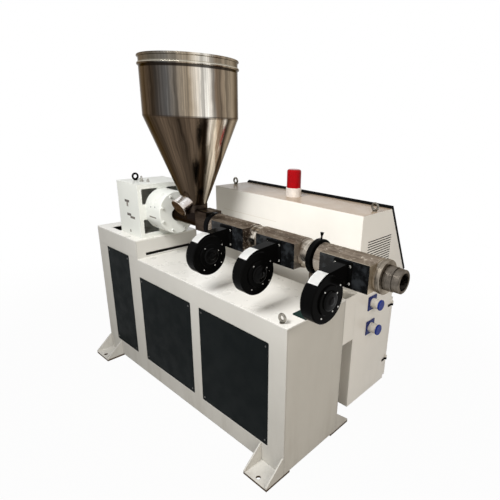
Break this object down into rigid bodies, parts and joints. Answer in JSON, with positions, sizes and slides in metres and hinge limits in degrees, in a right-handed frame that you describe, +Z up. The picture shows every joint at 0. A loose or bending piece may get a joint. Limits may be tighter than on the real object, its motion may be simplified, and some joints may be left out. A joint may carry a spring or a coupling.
{
  "type": "plastic extruder",
  "caption": "Single-screw plastic extruder on a footed base with hopper, cooled heating zones, side blowers, threaded die end and a desk-fronted control cabinet.",
  "frame": {"origin": "middle of the foundation bolt pattern at floor level", "axes": "+X along the barrel towards the die, +Y towards the control cabinet, +Z up"},
  "size_m": [1.966, 1.0637, 1.772],
  "materials": {
    "machine_paint": "semi-gloss",
    "cabinet_paint": "semi-gloss",
    "panel_grey": "satin",
    "polished_steel": "polished",
    "turned_steel": "turned",
    "black_paint": "gloss",
    "stand_steel": "satin",
    "zinc": "zinc plated",
    "socket_grey": "moulded",
    "socket_blue": "moulded",
    "beacon_white": "moulded",
    "beacon_red": "moulded"
  },
  "bodies": {
    "frame": {"base_front_wall": "machine_paint", "base_back_wall": "machine_paint", "riser_front_wall": "machine_paint", "riser_back_wall": "machine_paint", "base_drive_end_wall": "machine_paint", "base_die_end_wall": "machine_paint", "deck_plate": "machine_paint", "drive_deck_plate": "machine_paint", "deck_step_plate": "machine_paint", "foot_front_left": "machine_paint", "foot_front_right": "machine_paint", "foot_back_left": "machine_paint", "foot_back_right": "machine_paint", "gearbox_frame": "machine_paint", "bearing_housing": "machine_paint", "cabinet_body": "cabinet_paint", "cabinet_cover": "cabinet_paint", "cabinet_bracket_left": "cabinet_paint", "cabinet_bracket_right": "cabinet_paint", "front_panel_1": "panel_grey", "front_panel_2": "panel_grey", "front_panel_3": "panel_grey", "feed_section": "polished_steel", "hopper_neck": "polished_steel", "drain_chute": "polished_steel", "hopper_cone": "polished_steel", "hopper_drum": "polished_steel", "barrel_sleeve_1": "polished_steel", "barrel_sleeve_2": "polished_steel", "barrel_flange": "polished_steel", "heater_shroud_1": "polished_steel", "heater_shroud_2": "polished_steel", "heater_shroud_3": "polished_steel", "barrel_tube": "turned_steel", "die_adapter": "turned_steel", "inner_ring": "black_paint", "support_ring": "black_paint", "blower_1": "black_paint", "blower_2": "black_paint", "blower_3": "black_paint", "blower_cover_1": "black_paint", "blower_cover_2": "black_paint", "blower_cover_3": "black_paint", "blower_foot": "black_paint", "cabinet_console": "black_paint", "locking_screw": "black_paint", "gearbox_eyebolt": "black_paint", "cabinet_hinge_lower": "black_paint", "cabinet_hinge_upper": "black_paint", "support_stand": "stand_steel", "deck_eyebolt": "zinc", "cabinet_eyebolt_left": "zinc", "cabinet_eyebolt_right": "zinc", "socket_lower": "socket_grey", "socket_upper": "socket_grey", "socket_lid_lower": "socket_blue", "socket_lid_upper": "socket_blue", "beacon_base": "beacon_white", "beacon_lens": "beacon_red"},
    "door": {"cabinet_door": "cabinet_paint"}
  },
  "joints": [
    {"name": "cabinet_door_hinge", "type": "hinge", "parent": "frame", "child": "door", "pos_m": [0.8055, 0.654, 0.415], "axis": [0, 0, -1], "range_deg": [0, 110]}
  ]
}
